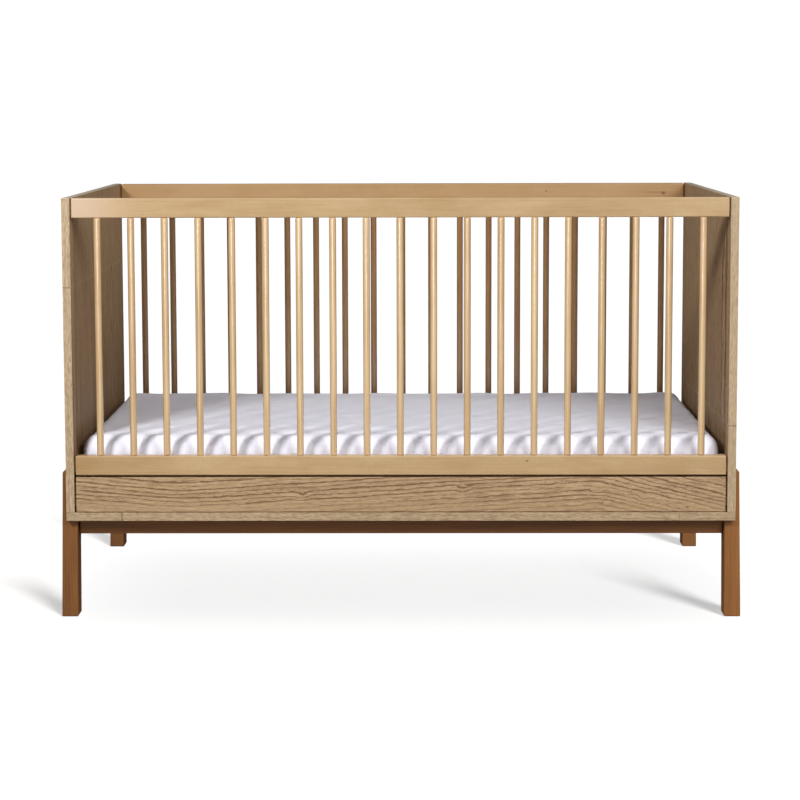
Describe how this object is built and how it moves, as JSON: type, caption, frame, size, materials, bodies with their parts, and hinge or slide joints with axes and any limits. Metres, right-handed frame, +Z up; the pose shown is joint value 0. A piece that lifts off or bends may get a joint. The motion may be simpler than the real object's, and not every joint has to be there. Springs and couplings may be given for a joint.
{
  "type": "baby crib",
  "caption": "Baby crib with solid wood-grain end panels, open sides of round spindles, a low fascia, stained legs, a height-adjustable slatted base and a white fitted mattress.",
  "frame": {"origin": "on the floor, under the middle of the crib", "axes": "+X along the crib to the right end panel, +Y from the front side to the rear side, +Z up"},
  "size_m": [1.4708, 0.75, 0.91],
  "materials": {
    "oak_veneer": "matte",
    "light_beech": "satin",
    "stained_beech": "satin",
    "raw_pine": "matte",
    "cotton_sheet": "matte",
    "zinc_steel": "satin",
    "insert_brass": "satin"
  },
  "bodies": {
    "frame": {"end_panel_left": "oak_veneer", "end_panel_right": "oak_veneer", "bottom_end_boards": "oak_veneer", "bottom_side_boards": "oak_veneer", "front_fascia": "oak_veneer", "rear_fascia": "oak_veneer", "leg_front_left": "stained_beech", "leg_front_right": "stained_beech", "leg_rear_left": "stained_beech", "leg_rear_right": "stained_beech", "stretchers": "stained_beech", "front_top_rail": "light_beech", "front_lower_rail": "light_beech", "rear_top_rail": "light_beech", "rear_lower_rail": "light_beech", "rail_bolt_sets": "zinc_steel", "leg_screws": "zinc_steel", "support_pegs": "zinc_steel", "height_inserts": "insert_brass", "front_spindle_01": "light_beech", "front_spindle_02": "light_beech", "front_spindle_03": "light_beech", "front_spindle_04": "light_beech", "front_spindle_05": "light_beech", "front_spindle_06": "light_beech", "front_spindle_07": "light_beech", "front_spindle_08": "light_beech", "front_spindle_09": "light_beech", "front_spindle_10": "light_beech", "front_spindle_11": "light_beech", "front_spindle_12": "light_beech", "front_spindle_13": "light_beech", "front_spindle_14": "light_beech", "front_spindle_15": "light_beech", "front_spindle_16": "light_beech", "front_spindle_17": "light_beech", "front_spindle_18": "light_beech", "front_spindle_19": "light_beech", "rear_spindle_01": "light_beech", "rear_spindle_02": "light_beech", "rear_spindle_03": "light_beech", "rear_spindle_04": "light_beech", "rear_spindle_05": "light_beech", "rear_spindle_06": "light_beech", "rear_spindle_07": "light_beech", "rear_spindle_08": "light_beech", "rear_spindle_09": "light_beech", "rear_spindle_10": "light_beech", "rear_spindle_11": "light_beech", "rear_spindle_12": "light_beech", "rear_spindle_13": "light_beech", "rear_spindle_14": "light_beech", "rear_spindle_15": "light_beech", "rear_spindle_16": "light_beech", "rear_spindle_17": "light_beech", "rear_spindle_18": "light_beech", "rear_spindle_19": "light_beech"},
    "base": {"base_rails": "raw_pine", "base_slats": "raw_pine"},
    "mattress": {"mattress": "cotton_sheet"}
  },
  "joints": [
    {"name": "base_height", "type": "slide", "parent": "frame", "child": "base", "axis": [0, 0, 1], "range_m": [0, 0.26]},
    {"name": "mattress_lift", "type": "slide", "parent": "base", "child": "mattress", "axis": [0, 0, 1], "range_m": [0, 0.66]}
  ]
}
